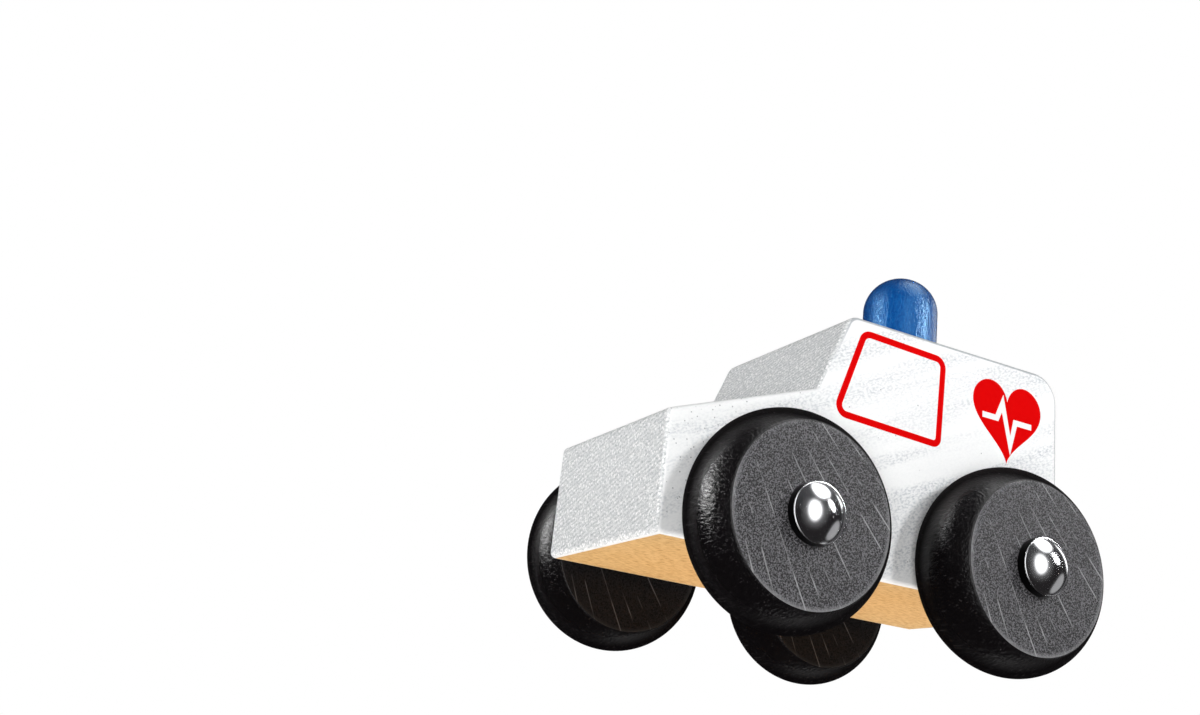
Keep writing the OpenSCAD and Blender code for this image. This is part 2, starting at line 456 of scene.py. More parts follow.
@dataclass(frozen=True)
class WhiteLacquer(Finish):
    """Beech sprayed with thin white satin lacquer.

    The side grain shows through as faint grey bands of fine flecks, with a few open pores. The
    sawn end grain drinks the lacquer in, so nose, windscreen and tail are greyer, with a fine
    light speckle and a trace of the saw's slanting rows, both drawn a little coarser than they
    are, so that they show. The eased upper edges towards the tail are painted grey as shade,
    where they round away from the light.
    """

    title: str = "beech_sprayed_with_white_satin_lacquer"
    roughness: float = 0.45
    shine: float = 0.3
    white: str = "#F4F5F5"
    fleck: str = "#C5C9CD"
    # Grey of the painted shade on the eased upper edges
    edge: str = "#B4B7BC"
    pore: str = "#77787D"
    end_light: str = "#FFFFFF"
    end_dark: str = "#A8ADAF"
    end_facing: Ramp = Ramp(0.4, 0.6)
    off_side: Ramp = Ramp(0.94, 0.995, 1.0, 0.0)
    off_flat: Ramp = Ramp(0.1, 0.3)
    # Where the painted edge shade starts and stops up the block, and how fast its line falls
    edge_shade_start: float = 35.0
    edge_shade_end: float = 45.0
    edge_shade_fall: float = 0.5
    grain_slant: float = 25.0
    band_size: Size = (46.0, 16.0, 5.0)
    band_ramp: Ramp = Ramp(0.4, 0.7, 0.1)
    fleck_size: Size = (0.75, 0.5, 0.4)
    fleck_ramp: Ramp = Ramp(0.42, 0.66, 0.1)
    pore_spacing: float = 1.05
    pore_ramp: Ramp = Ramp(0.08, 0.18, 0.8, 0.0)
    pore_share: Ramp = Ramp(12.0, 36.0, 0.03, 0.8)
    row_slant: float = 17.0
    row_spacing: float = 0.95
    row_weight: float = 0.11
    dot_spacing: Size = (0.8, 0.85, 0.75)
    dot_ramp: Ramp = Ramp(0.14, 0.34, 0.6, 0.0)
    speckle_size: Size = (0.3, 0.5, 0.26)
    speckle_ramp: Ramp = Ramp(0.34, 0.8)

    def dress(self, tree: Tree, shader: Node) -> None:
        """Adds side grain with painted edge shade, and end grain where the block faces forward or
        back.

        Args:
            tree: The material's nodes.
            shader: The material's main shader.
        """
        coords = add(tree, "TexCoord")
        here = coords.outputs["Object"]
        facing = add(tree, "SeparateXYZ", {0: coords.outputs["Normal"]})
        end_on = add(tree, "Math", {0: facing.outputs["X"]}, operation="ABSOLUTE")
        end_mask = add(
            tree, "MapRange", self.end_facing.inputs(end_on), interpolation_type="SMOOTHSTEP",
        )
        # Grey painted as shade on the eased upper edges towards the tail
        painted_light_and_wear = self.painted_edge_shade(tree, here, facing.outputs["Y"])
        side_tone = add(
            tree, "Mix",
            {FACTOR: painted_light_and_wear, UNDER: self.side_grain(tree, here), OVER: self.edge}, data_type="RGBA",
        )
        end_tone, speckle = self.end_grain(tree, here)
        tone = add(
            tree, "Mix",
            {FACTOR: end_mask, UNDER: side_tone, OVER: end_tone}, data_type="RGBA",
        )
        self.surface(tree, shader, tone, speckle)

    def painted_edge_shade(self, tree: Tree, here: Socket, sideways: Socket) -> Node:
        """Adds painted shade on the eased edges round the roof and the tail.

        An eased edge is where the normal leans between a side and another face. The zone lies
        above a line that falls by half a millimetre for each millimetre towards the tail.

        Args:
            tree: The material's nodes.
            here: Coordinates on the block.
            sideways: The normal's part along Y.

        Returns:
            How much painted shade the edge takes.
        """
        side_on = add(tree, "Math", {0: sideways}, operation="ABSOLUTE")
        off_side = add(tree, "MapRange", self.off_side.inputs(side_on))
        off_flat = add(tree, "MapRange", self.off_flat.inputs(side_on))
        edge = add(tree, "Math", {0: off_side, 1: off_flat}, operation="MULTIPLY")
        upward = (-self.edge_shade_fall, 0, 1)
        rise = add(tree, "VectorMath", {0: here, 1: upward}, operation="DOT_PRODUCT")
        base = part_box("body")[0].z
        window = Ramp(base + self.edge_shade_start * MM, base + self.edge_shade_end * MM)
        zone = add(tree, "MapRange", window.inputs(rise))
        return add(tree, "Math", {0: edge, 1: zone}, operation="MULTIPLY")

    def side_grain(self, tree: Tree, here: Socket) -> Node:
        """Adds bands of flecks, and pores that grow more towards the nose.

        Args:
            tree: The material's nodes.
            here: Coordinates on the block.

        Returns:
            The tone of side grain.
        """
        turn = (0, self.grain_slant, 0)
        band_look = {"Detail": 2.0, "Distortion": 0.4}
        bands = pattern(tree, "TexNoise", here, self.band_size, band_look, turn)
        band_mask = add(
            tree, "MapRange", self.band_ramp.inputs(bands), interpolation_type="SMOOTHSTEP",
        )
        flecks = pattern(tree, "TexNoise", here, self.fleck_size, {"Detail": 1.0}, turn)
        fleck_mask = add(tree, "MapRange", self.fleck_ramp.inputs(flecks))
        grain = add(tree, "Math", {0: band_mask, 1: fleck_mask}, operation="MULTIPLY")
        flecked = add(
            tree, "Mix",
            {FACTOR: grain, UNDER: self.white, OVER: self.fleck}, data_type="RGBA",
        )
        pores = add(tree, "TexVoronoi", {"Vector": here, "Scale": 1 / (self.pore_spacing * MM)})
        pore_mask = add(tree, "MapRange", self.pore_ramp.inputs(pores))
        chance = add(tree, "SeparateXYZ", {0: pores.outputs["Color"]})
        along = add(tree, "SeparateXYZ", {0: here})
        share = add(tree, "MapRange", self.pore_share.inputs(along.outputs["X"], MM))
        is_open = add(tree, "Math", {0: chance.outputs["X"], 1: share}, operation="LESS_THAN")
        pored = add(tree, "Math", {0: pore_mask, 1: is_open}, operation="MULTIPLY")
        return add(tree, "Mix", {FACTOR: pored, UNDER: flecked, OVER: self.pore}, data_type="RGBA")

    def end_grain(self, tree: Tree, here: Socket) -> tuple[Node, Node]:
        """Adds a light speckle with dots and the saw's rows.

        Args:
            tree: The material's nodes.
            here: Coordinates on the block.

        Returns:
            The tone of end grain, and the speckle's height.
        """
        turn = (self.row_slant, 0, 0)
        dots = pattern(tree, "TexVoronoi", here, self.dot_spacing, {"Randomness": 0.8}, turn)
        dot_mask = add(tree, "MapRange", self.dot_ramp.inputs(dots))
        speckle_look = {"Detail": 3.0, "Roughness": 0.6}
        speckle = pattern(tree, "TexNoise", here, self.speckle_size, speckle_look, turn)
        row_place = add(
            tree, "Mapping", {"Vector": here, "Rotation": (math.radians(self.row_slant), 0, 0)},
            vector_type="TEXTURE",
        )
        rows = add(
            tree, "TexWave",
            {
                "Vector": row_place, "Scale": FULL_TURN / (WAVE_RADIANS * self.row_spacing * MM),
                "Distortion": 1.6, "Detail": 2.0, "Detail Scale": 2.0,
            },
            bands_direction="Z",
        )
        streaks = add(
            tree, "Math",
            {0: rows.outputs["Fac"], 1: self.row_weight, 2: speckle}, operation="MULTIPLY_ADD",
        )
        height = add(tree, "Math", {0: streaks, 1: dot_mask}, operation="ADD")
        return layer(tree, height, self.speckle_ramp, self.end_dark, self.end_light), height


@dataclass(frozen=True)
class StainedFace(Finish):
    """Flat face of a turned beech wheel, stained black and waxed.

    The end grain takes the stain unevenly: fine black pores on mottled grey, and thin pale rays
    that fan out from the pith, which lay outside the wheel. The rim is paler in patches: partly
    wear from handling, partly a painted highlight where the eased rim catches the light.
    """

    title: str = "beech_end_grain_stained_black"
    roughness: float = 0.55
    shine: float = 0.3
    relief: float = 0.4
    grey: str = "#6B6A6D"
    shade: str = "#0E0D0F"
    pore: str = "#050505"
    ray: str = "#9A9A9B"
    # Paler rim: partly wear, partly a painted highlight
    painted_light_and_wear: str = "#8A8A8C"
    mottle_size: float = 0.24
    mottle_ramp: Ramp = Ramp(0.42, 0.62)
    pore_spacing: float = 0.55
    pore_ramp: Ramp = Ramp(0.22, 0.4, 1.0, 0.0)
    rim_ramp: Ramp = Ramp(15.4, 16.5, last=0.7)
    rim_patch_size: float = 14.0
    rim_patch_ramp: Ramp = Ramp(0.4, 0.6, 0.1)
    pith_distance: float = 65.0
    pith_angle: float = 56.0
    ray_spacing: float = 3.4
    ray_width: float = 0.15
    ray_core: float = 0.25
    ray_break: float = 5.0
    break_ramp: Ramp = Ramp(0.42, 0.64)

    def dress(self, tree: Tree, shader: Node) -> None:
        """Adds pores, broken rays and a paler rim, partly wear and partly painted highlight.

        Args:
            tree: The material's nodes.
            shader: The material's main shader.
        """
        here = add(tree, "TexCoord").outputs["Object"]
        mottle_scale = 1 / (self.mottle_size * MM)
        mottle = add(tree, "TexNoise", {"Vector": here, "Scale": mottle_scale, "Detail": 2.0})
        mottled = layer(tree, mottle, self.mottle_ramp, self.shade, self.grey)
        pores = add(tree, "TexVoronoi", {"Vector": here, "Scale": 1 / (self.pore_spacing * MM)})
        stained = layer(tree, pores, self.pore_ramp, mottled, self.pore)
        flat = add(tree, "VectorMath", {0: here, 1: (1, 0, 1)}, operation="MULTIPLY")
        reach = add(tree, "VectorMath", {0: flat}, operation="LENGTH")
        # Paler band round the rim in patches: partly wear, partly a painted highlight
        rim = add(
            tree, "MapRange", self.rim_ramp.inputs(reach, MM), interpolation_type="SMOOTHSTEP",
        )
        wear_scale = 1 / (self.rim_patch_size * MM)
        rim_patches = add(tree, "TexNoise", {"Vector": here, "Scale": wear_scale, "Detail": 1.0})
        rim_patch_mask = add(tree, "MapRange", self.rim_patch_ramp.inputs(rim_patches))
        rim_wear_and_glint = add(tree, "Math", {0: rim, 1: rim_patch_mask}, operation="MULTIPLY")
        rim_wear_and_glint_tone = add(
            tree, "Mix",
            {FACTOR: rim_wear_and_glint, UNDER: stained, OVER: self.painted_light_and_wear}, data_type="RGBA",
        )
        tone = add(
            tree, "Mix",
            {FACTOR: self.rays(tree, here), UNDER: rim_wear_and_glint_tone, OVER: self.ray}, data_type="RGBA",
        )
        self.surface(tree, shader, tone, mottle)

    def rays(self, tree: Tree, here: Socket) -> Node:
        """Adds thin broken lines that fan out from the pith.

        Args:
            tree: The material's nodes.
            here: Coordinates on the wheel.

        Returns:
            How much of a ray shows.
        """
        turn = math.radians(self.pith_angle)
        pith = Vector((math.cos(turn), 0, math.sin(turn))) * self.pith_distance * MM
        from_pith = add(tree, "VectorMath", {0: here, 1: pith}, operation="SUBTRACT")
        parts = add(tree, "SeparateXYZ", {0: from_pith}).outputs
        bearing = add(tree, "Math", {0: parts["Z"], 1: parts["X"]}, operation="ARCTAN2")
        lines = add(
            tree, "TexVoronoi", {"W": bearing, "Scale": self.pith_distance / self.ray_spacing},
            voronoi_dimensions="1D", feature="DISTANCE_TO_EDGE",
        )
        width = self.ray_width / self.ray_spacing
        fade = Ramp(self.ray_core * width, width, 1.0, 0.0)
        line_mask = add(tree, "MapRange", fade.inputs(lines))
        break_scale = 1 / (self.ray_break * MM)
        breaks = add(tree, "TexNoise", {"Vector": here, "Scale": break_scale, "Detail": 1.0})
        break_mask = add(tree, "MapRange", self.break_ramp.inputs(breaks))
        return add(tree, "Math", {0: line_mask, 1: break_mask}, operation="MULTIPLY")


@dataclass(frozen=True, kw_only=True)
class StainedTread(GrainedFinish):
    """Tread of a turned beech wheel, stained black and polished.

    The stain is near black, and the grain under it breaks a highlight into fine crinkled
    streaks. A few thin paler rays and scratches run across the tread. The open grain scatters
    light that only grazes it, so the tread stays dark along its outline.
    """

    title: str = "beech_tread_stained_black_and_polished"
    roughness: float = 0.25
    shine: float = 0.4
    relief: float = 1.0
    relief_depth: float = 0.15
    ground: str = "#030203"
    grains: tuple[Grain, ...] = (
        Grain("#0E0C0D", (0.5, 1.7, 0.5), detail=3.0, distortion=0.8),
        Grain("#3C393A", (0.4, 9.0, 0.4), Ramp(0.64, 0.8, last=0.5), detail=1.0),
    )
    grazing: Flat = (0.32, 0.62)
    grazing_roughness: float = 1.0
    grazing_shine: float = 0.05

    def dress(self, tree: Tree, shader: Node) -> None:
        """Adds crinkled streaks in relief, thin scratches in tone and dull edges.

        Args:
            tree: The material's nodes.
            shader: The material's main shader.
        """
        super().dress(tree, shader)
        facing = add(tree, "LayerWeight").outputs["Facing"]
        gloss = {
            "Roughness": Ramp(*self.grazing, self.roughness, self.grazing_roughness),
            "Specular IOR Level": Ramp(*self.grazing, self.shine, self.grazing_shine),
        }
        for name, ramp in gloss.items():
            feed(tree, shader, {name: add(tree, "MapRange", ramp.inputs(facing))})


@dataclass(frozen=True, kw_only=True)
class Steel(GrainedFinish):
    """Metal whose tone and relief vary a little with how it was drawn, rolled or plated."""

    relief_depth: float = 0.1
    metallic: float = 1.0


WHITE_LACQUER = WhiteLacquer()
# Planed beech without lacquer: warm tan, with the short darker flecks of its rays
BARE_BEECH = GrainedFinish(
    title="beech_planed_and_left_bare", roughness=0.6, ground="#E7C28A", raised=1,
    grains=(
        Grain("#E2B97C", (60.0, 9.0, 30.0)),
        Grain("#AC7434", (1.6, 0.4, 0.4), Ramp(0.46, 0.72, last=0.9)),
    ),
)
STAINED_FACE = StainedFace()
# Inner faces are painted near black as the shade between wheel and block, with only a faint paler
# rim and faint rays
INNER_FACE_PAINTED_SHADE = StainedFace(
    title="beech_end_grain_stained_deep_black", roughness=0.7, shine=0.1,
    grey="#1F1D1E", shade="#100F10", pore="#060606", ray="#4C4A4B", painted_light_and_wear="#2C2B2C",
)
STAINED_TREAD = StainedTread()
# Turned beech under clear blue gloss lacquer: fine upright streaks and a broken highlight. The
# lacquer is thin and stained right through, so its highlights keep a tint of sky blue.
BLUE_LACQUER = GrainedFinish(
    title="turned_beech_under_blue_gloss_lacquer", roughness=0.22, shine=0.8, sheen_tint="#98E0FF",
    relief=0.9, relief_depth=0.16, ground="#024187",
    grains=(Grain("#08559E", (0.4, 0.4, 0.95), Ramp(0.35, 0.68), distortion=0.7),),
)
# Screen-printed enamel ink that dried matt: an even colour with a fine tooth from the wood
RED_INK = GrainedFinish(
    title="screen_printed_red_enamel_ink", roughness=0.9, shine=0.1, relief=0.2, relief_depth=0.02,
    ground="#DA0003", grains=(Grain("#DF0807", (0.6, 0.6, 0.6)),),
)
WHITE_INK = replace(
    RED_INK, title="screen_printed_white_enamel_ink",
    ground="#F4F4F4", grains=(Grain("#FAFAFA", (0.6, 0.6, 0.6)),),
)
# Bright plate with next to no grain, a skirt painted black as the shade under the dome's rim,
# long lines on drawn rod, fine grain on rolled sheet
CHROME = Steel(
    title="pressed_steel_with_chrome_plate", roughness=0.16, relief=0.03,
    ground="#CFD0D3", grains=(Grain("#DCDDDF", (1.6, 1.6, 1.6)),),
)
STEEL_SKIRT_PAINTED_SHADE = Steel(
    title="pressed_steel_with_black_oxide", roughness=0.4, relief=0.2,
    ground="#181719", grains=(Grain("#232224", (1.6, 1.6, 1.6)),),
)
DRAWN_STEEL = Steel(
    title="bright_drawn_steel_rod", roughness=0.25, relief=0.15,
    ground="#A9ABAE", grains=(Grain("#C4C6C9", (0.4, 12.0, 0.4)),),
)
SPRING_STEEL = Steel(
    title="hardened_spring_steel_sheet", roughness=0.35, relief=0.2,
    ground="#767C85", grains=(Grain("#8E949C", (0.5, 0.5, 0.5)),),
)


# Sub-assemblies


@dataclass
class Block:
    """The sawn block: bonnet, windscreen, roof and round tail, bored for both axles."""

    nose_height: float = 23.0
    bonnet_length: float = 32.0
    bonnet_height: float = 34.5
    windscreen_lean: float = 7.0
    tail_radius: float = 6.0
    brow_radius: float = 3.0
    windscreen_fillet: float = 1.0
    edge_ease: float = 0.9
    corner_ease: float = 1.2
    ease_steps: int = 10
    bore_steps: int = 48
    flat_limit: float = 0.999
    low: Vector = field(init=False)
    high: Vector = field(init=False)

    def __post_init__(self) -> None:
        """Takes the block's box from the frame."""
        self.low, self.high = (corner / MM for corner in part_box("body"))

    def corners(self) -> list[Size]:
        """Gives x, z and radius of the side outline's corners, anticlockwise with X to the right.

        Returns:
            The corners, from the tail's foot round by the nose.
        """
        tail, nose = self.low.x, self.high.x
        floor, roof = self.low.z, self.high.z
        foot = nose - self.bonnet_length
        return [
            (tail, floor, self.corner_ease),
            (nose, floor, self.corner_ease),
            (nose, floor + self.nose_height, self.corner_ease),
            (foot, floor + self.bonnet_height, self.windscreen_fillet),
            (foot - self.windscreen_lean, roof, self.brow_radius),
            (tail, roof, self.tail_radius),
        ]

    def stations(self) -> list[Flat]:
        """Gives y and the outline's inset for each ring of the loft, from right to left.

        Returns:
            The stations.
        """
        half, ease = self.high.y, self.edge_ease
        turns = [math.pi / 2 * step / self.ease_steps for step in range(self.ease_steps + 1)]
        left = [(half - ease + ease * math.cos(t), ease - ease * math.sin(t)) for t in turns]
        return [(-y, inset) for y, inset in left] + left[::-1]

    def shape(self) -> Shape:
        """Lofts the outline through the stations.

        Returns:
            The eased block, with its bare underside as finish 1.
        """
        shape = bmesh.new()
        rings = []
        for y, inset in self.stations():
            outline = rounded(self.corners(), inset, self.ease_steps)
            rings.append([shape.verts.new((x, y, z)) for x, z in outline])
        self.skin(shape, rings)
        middle = (self.low.z + self.high.z) / 2
        for face in shape.faces:
            face.normal_update()
            below = face.calc_center_median().z < middle
            face.material_index = int(below and abs(face.normal.z) > self.flat_limit)
        bores = [self.bore(shape, end) for end in End]
        for i, ring in enumerate((rings[0], rings[-1])):
            loops = [ring] + [bore[i] for bore in bores]
            pairs = [pair for loop in loops for pair in zip(loop, loop[1:] + loop[:1])]
            edges = [shape.edges.get(pair) for pair in pairs]
            bmesh.ops.triangle_fill(shape, use_beauty=True, edges=edges)
        return shape

    def skin(self, shape: Shape, rings: list[list[bmesh.types.BMVert]]) -> None:
        """Joins each ring of points to the next by quads.

        Args:
            shape: The shape that takes the faces.
            rings: Rings with as many points each.
        """
        for ring, ahead in zip(rings, rings[1:]):
            for j, corner in enumerate(ring):
                k = (j + 1) % len(ring)
                shape.faces.new((corner, ring[k], ahead[k], ahead[j]))

    def bore(self, shape: Shape, end: End) -> list[list[bmesh.types.BMVert]]:
        """Makes the wall of an axle's bore.

        Args:
            shape: The shape that takes the wall.
            end: The end of the toy.

        Returns:
            The rings of points on the right and on the left side.
        """
        low, high = (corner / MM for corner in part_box(f"{end.value}_axle"))
        centre = ((low.x + high.x) / 2, (low.z + high.z) / 2)
        circle = arc(centre, BORE_RADIUS, 0, 360, self.bore_steps)[:-1]
        rings = [[shape.verts.new((x, y, z)) for x, z in circle] for y in (self.low.y, self.high.y)]
        self.skin(shape, rings)
        return rings

    def build(self) -> None:
        """Makes the block."""
        materials = [WHITE_LACQUER.material(), BARE_BEECH.material()]
        made = piece("block", self.shape(), Vector(), materials)
        made.modifiers.new("flat_faces", "WEIGHTED_NORMAL").keep_sharp = True
        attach(made, "body")
        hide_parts("body")
        LOG.info("made %s", made.name)


@dataclass
class SidePrints:
    """Prints on both sides of the block: a window's outline and a heart with a pulse line.

    Places are measured back from the nose and up from the underside. The pulse line's points are
    shares of the heart's width and height, from its middle.
    """

    block: Block
    window: tuple[Size, ...] = (
        (62.5, 28.9, 2.0),
        (35.5, 30.05, 2.6),
        (41.9, 49.2, 2.8),
        (63.3, 48.4, 2.6),
    )
    window_line: float = 1.4
    heart_place: Flat = (79.95, 38.2)
    heart_width: float = 18.6
    heart_height: float = 17.4
    heart_waves: tuple[float, ...] = (13, -5, -2, -1)
    heart_steps: int = 96
    pulse_line: float = 1.25
    pulse_shares: tuple[Flat, ...] = (
        (-0.36, 0.04), (-0.15, 0.04), (-0.07, 0.24), (0.05, -0.26), (0.12, 0.04), (0.36, 0.04),
    )
    mitre_limit: float = 0.3
    film: float = 0.03
    sunk: float = 0.02
    corner_steps: int = 8

    def place(self, setback: float, rise: float) -> Flat:
        """Turns a setback and a rise into x and z."""
        return self.block.high.x - setback, self.block.low.z + rise

    def window_faces(self) -> list[list[Flat]]:
        """Gives the faces of the window's outline.

        Returns:
            Quads between the outer and the inner edge of the line.
        """
        corners = [(*self.place(setback, rise), radius) for setback, rise, radius in self.window]
        outer = rounded(corners, 0, self.corner_steps)
        inner = rounded(corners, self.window_line, self.corner_steps)
        edges = list(zip(outer, inner))
        return [[a, c, d, b] for (a, b), (c, d) in zip(edges, edges[1:] + edges[:1])]

    def heart_faces(self) -> list[list[Flat]]:
        """Gives the heart from the usual formula: a cubed sine across, and cosine waves upward.

        Returns:
            One face.
        """
        middle = Vector(self.place(*self.heart_place))
        turns = [FULL_TURN * step / self.heart_steps for step in range(self.heart_steps)]
        waves = list(enumerate(self.heart_waves, 1))
        ups = [sum(wave * math.cos(n * t) for n, wave in waves) for t in turns]
        foot, tall = min(ups), max(ups) - min(ups)
        points = [
            (
                middle.x + math.sin(t) ** 3 * self.heart_width / 2,
                middle.y + ((up - foot) / tall - 0.5) * self.heart_height,
            )
            for t, up in zip(turns, ups)
        ]
        return [points]

    def pulse_faces(self) -> list[list[Flat]]:
        """Gives the faces of the pulse line across the heart, mitred at its corners.

        Returns:
            One quad for each stretch.
        """
        middle = Vector(self.place(*self.heart_place))
        points = [
            middle + Vector((-along * self.heart_width, up * self.heart_height))
            for along, up in self.pulse_shares
        ]
        runs = [(b - a).normalized() for a, b in zip(points, points[1:])]
        edges = []
        for i, point in enumerate(points):
            before, after = runs[max(i - 1, 0)], runs[min(i, len(runs) - 1)]
            mitre = (before + after).normalized().orthogonal()
            reach = self.pulse_line / 2 / max(mitre.dot(before.orthogonal()), self.mitre_limit)
            edges.append((tuple(point + mitre * reach), tuple(point - mitre * reach)))
        return [[a, b, d, c] for (a, b), (c, d) in zip(edges, edges[1:])]

    def film_piece(
        self, name: str, faces: list[list[Flat]], lift: float, side: Side, ink: Finish,
    ) -> None:
        """Makes a print as a thin closed film on one side of the block.

        Args:
            name: Name of the print, to which the side is added.
            faces: Flat faces that share their points.
            lift: How far the film's top stands proud of the lacquer.
            side: The side of the toy.
            ink: Its ink.
        """
        shape = bmesh.new()
        inner = self.block.high.y - self.sunk
        corners: dict[Flat, bmesh.types.BMVert] = {}
        for face in faces:
            for x, z in face:
                if (x, z) not in corners:
                    corners[(x, z)] = shape.verts.new((x, side.value * inner, z))
            shape.faces.new([corners[point] for point in face])
        grown = bmesh.ops.extrude_face_region(shape, geom=shape.faces[:])
        moved = [part for part in grown["geom"] if isinstance(part, bmesh.types.BMVert)]
        bmesh.ops.translate(shape, vec=Vector((0, side.value * (self.sunk + lift), 0)), verts=moved)
        made = piece(f"{side.name.lower()}_{name}", shape, Vector(), [ink.material()])
        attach(made, "body")
        LOG.info("made %s", made.name)

    def build(self) -> None:
        """Makes the prints of both sides."""
        for side in Side:
            self.film_piece("window_print", self.window_faces(), self.film, side, RED_INK)
            self.film_piece("heart_print", self.heart_faces(), self.film, side, RED_INK)
            self.film_piece("pulse_print", self.pulse_faces(), 2 * self.film, side, WHITE_INK)


@dataclass
class Beacon:
    """The turned blue peg in the roof."""

    dome: float = 7.8
    spigot_radius: float = 4.0
    spigot_chamfer: float = 0.8
    dome_steps: int = 28
    turn_steps: int = 96

    def build(self) -> None:
        """Makes the beacon."""
        low, high = (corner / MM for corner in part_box("beacon"))
        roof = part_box("body")[1].z / MM
        radius = (high.x - low.x) / 2
        middle = Vector(((low.x + high.x) / 2, 0, roof))
        height, spigot = high.z - roof, low.z - roof
        sphere = (radius ** 2 + self.dome ** 2) / (2 * self.dome)
        spring = math.degrees(math.acos(radius / sphere))
        profile = [
            (0, spigot),
            (self.spigot_radius - self.spigot_chamfer, spigot),
            (self.spigot_radius, spigot + self.spigot_chamfer),
            (self.spigot_radius, 0),
            (radius, 0),
            *arc((0, height - sphere), sphere, spring, 90, self.dome_steps),
        ]
        shape = turned(profile, [0] * (len(profile) - 1), Vector((0, 0, 1)), self.turn_steps)
        made = piece("beacon_peg", shape, middle, [BLUE_LACQUER.material()])
        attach(made, "body")
        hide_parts("beacon")
        LOG.info("made %s", made.name)


@dataclass
class AxleSet:
    """One axle with its wheels, caps, spacers and retainers."""

    end: End
    tread_fall: float = 3.5
    wheel_ease: float = 0.3
    tread_steps: int = 36
    wheel_steps: int = 144
    cap_wall: float = 0.5
    cap_skirt: float = 1.8
    cap_lip: float = 0.6
    cap_shoulder: float = 0.2
    cap_ease: float = 0.15
    dome_steps: int = 20
    cap_steps: int = 96
    ease_steps: int = 3

    def node(self, side: Side, fitting: str) -> str:
        """Gives the name of a fitting's CAD node."""
        return f"{self.end.value}_{side.name.lower()}_{fitting}"

    def span(self, node: str, side: Side) -> tuple[Vector, float, float]:
        """Gives a fitting's place and size.

        Args:
            node: Name of the CAD node.
            side: The side of the toy.

        Returns:
            The middle of its inner face, its width and its radius.
        """
        low, high = (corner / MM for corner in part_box(node))
        inner = min(abs(low.y), abs(high.y))
        place = Vector(((low.x + high.x) / 2, side.value * inner, (low.z + high.z) / 2))
        return place, high.y - low.y, (high.z - low.z) / 2

    def wheel(self, side: Side) -> None:
        """Makes a wheel with flat faces and a round tread.

        Args:
            side: The side of the toy.
        """
        node = self.node(side, "wheel")
        place, width, radius = self.span(node, side)
        half = width / 2
        tread = (half ** 2 + self.tread_fall ** 2) / (2 * self.tread_fall)
        reach = math.degrees(math.asin(half / tread))
        profile = [
            (BORE_RADIUS, half),
            (BORE_RADIUS, -half),
            *arc((radius - tread, 0), tread, -reach, reach, self.tread_steps),
        ]
        inner, outer = (2, 0) if side is Side.LEFT else (0, 2)
        finishes = [0, inner] + [1] * self.tread_steps + [outer]
        shape = turned(profile, finishes, Vector((0, 1, 0)), self.wheel_steps)
        middle = place + Vector((0, side.value * half, 0))
        # The inner faces take a finish painted near black as shade
        materials = [finish.material() for finish in (STAINED_FACE, STAINED_TREAD, INNER_FACE_PAINTED_SHADE)]
        made = piece(f"{node}_turned", shape, middle, materials)
        ease_edges(made, self.wheel_ease, self.ease_steps)
        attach(made, node)
        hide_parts(node)
        LOG.info("made %s", made.name)

    def cap(self, side: Side) -> None:
        """Makes a hollow domed cap with its shoulder, rolled lip and a skirt painted black as
        shade.

        Args:
            side: The side of the toy.
        """
        node = self.node(side, "cap")
        place, height, radius = self.span(node, side)
        rise = height - self.cap_skirt
        foot = radius - self.cap_shoulder
        sphere = (foot ** 2 + rise ** 2) / (2 * rise)
        inner = radius - self.cap_wall
        centre = (0, height - sphere)
        outer_spring = math.degrees(math.acos(foot / sphere))
        inner_spring = math.degrees(math.acos(inner / (sphere - self.cap_wall)))
        skirt = (radius, 0)
        profile = [
            *arc(centre, sphere - self.cap_wall, 90, inner_spring, self.dome_steps),
            (inner, self.cap_wall),
            (inner - self.cap_lip, self.cap_wall),
            (inner - self.cap_lip, 0),
            skirt,
            (radius, self.cap_skirt),
            *arc(centre, sphere, outer_spring, 90, self.dome_steps),
        ]
        # The skirt is painted black as the shade in the gap under the dome's rim
        finishes = [int(point == skirt) for point in profile[:-1]]
        shape = turned(profile, finishes, Vector((0, side.value, 0)), self.cap_steps)
        made = piece(f"{node}_pressed", shape, place, [CHROME.material(), STEEL_SKIRT_PAINTED_SHADE.material()])
        ease_edges(made, self.cap_ease, self.ease_steps)
        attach(made, f"{self.end.value}_axle_set")
        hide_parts(node)
        LOG.info("made %s", made.name)

    def refinish(self, node: str, finish: Finish) -> None:
        """Gives a CAD node its finish.

        Args:
            node: Name of the node, whose shape stays.
            finish: The finish.
        """
        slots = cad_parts[node].data.materials
        slots.clear()
        slots.append(finish.material())
        LOG.info("dressed %s", node)

    def build(self) -> None:
        """Makes the wheels and caps, and dresses the pieces between them."""
        self.refinish(f"{self.end.value}_axle", DRAWN_STEEL)
        for side in Side:
            self.wheel(side)
            self.cap(side)
            self.refinish(self.node(side, "spacer"), BARE_BEECH)
            self.refinish(self.node(side, "retainer"), SPRING_STEEL)


# Studio


@dataclass(frozen=True)
class Softbox:
    """A round studio lamp that looks at the toy and isn't mirrored in it.

    Its level is the light that it alone gives a facing surface: at 1 a colour renders as written.
    """

    title: str
    toward: Size
    width: float
    level: float
    distance: float = 900.0

    def build(self, aim: Vector) -> None:
        """Makes the lamp.

        Args:
            aim: The point that it looks at, in millimetres.
        """
        ray = Vector(self.toward).normalized()
        lamp = bpy.data.lights.new(self.title, "AREA")
        lamp.shape = "DISK"
        lamp.size = self.width * MM
        lamp.energy = self.level * (math.pi * self.distance * MM) ** 2
        made = bpy.data.objects.new(self.title, lamp)
        made.location = (aim + ray * self.distance) * MM
        made.rotation_mode = "QUATERNION"
        made.rotation_quaternion = ray.to_track_quat("Z", "Y")
        made.visible_camera = False
        made.visible_glossy = False
        bpy.context.scene.collection.objects.link(made)
        LOG.info("lit %s", self.title)


